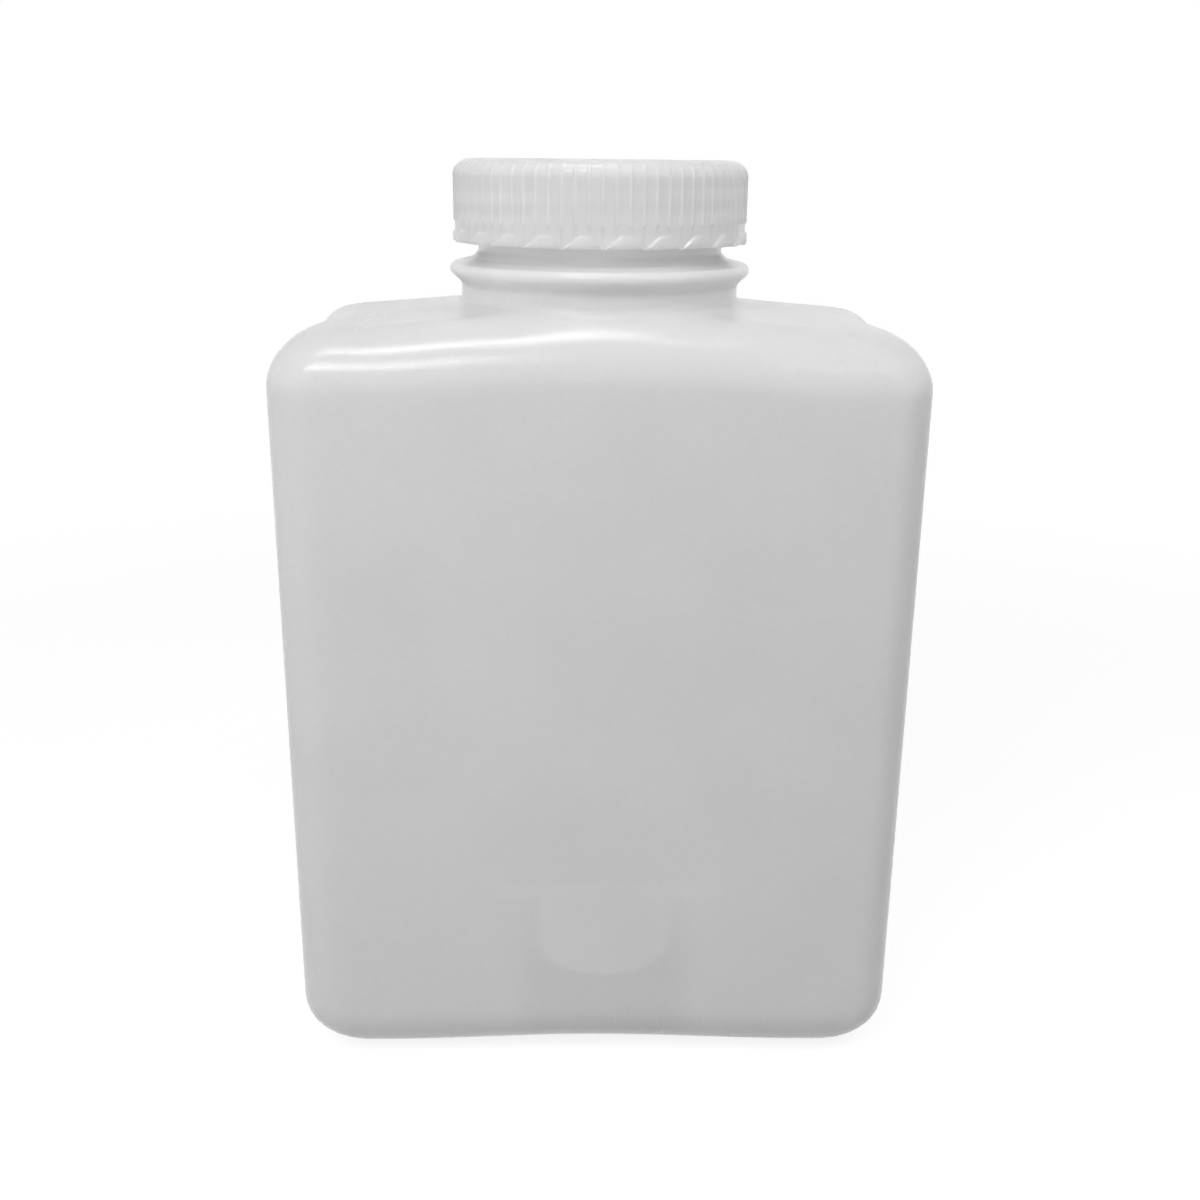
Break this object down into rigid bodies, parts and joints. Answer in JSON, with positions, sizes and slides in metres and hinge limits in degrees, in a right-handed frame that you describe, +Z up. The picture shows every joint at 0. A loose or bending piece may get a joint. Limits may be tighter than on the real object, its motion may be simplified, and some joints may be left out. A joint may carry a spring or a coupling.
{
  "type": "reagent bottle",
  "caption": "Rectangular wide-mouth plastic reagent bottle, blown in one piece, with a ribbed screw cap and a foam sealing disc.",
  "frame": {"origin": "centre of the bottle's foot, on the surface it stands on", "axes": "+Z up along the neck's axis, +X across the body's width, -Y out of the broad front"},
  "size_m": [0.12, 0.068, 0.1774],
  "materials": {
    "bottle_plastic": "natural, milky translucent, satin",
    "cap_plastic": "natural, translucent, soft gloss",
    "liner_foam": "closed-cell foam, matt"
  },
  "bodies": {
    "bottle": {"bottle": "bottle_plastic"},
    "liner": {"sealing_liner": "liner_foam"},
    "cap": {"screw_cap": "cap_plastic"}
  },
  "joints": [
    {"name": "cap_rise", "type": "slide", "parent": "bottle", "child": "liner", "axis": [0, 0, 1], "range_m": [0, 0.0201]},
    {"name": "cap_turn", "type": "hinge", "parent": "liner", "child": "cap", "pos_m": [0, 0, 0.1758], "axis": [0, 0, 1], "range_deg": [0, 1800]}
  ],
  "couplings": [
    {"joint": "cap_rise", "follows": "cap_turn", "m_per_rad": 0.00063662}
  ]
}
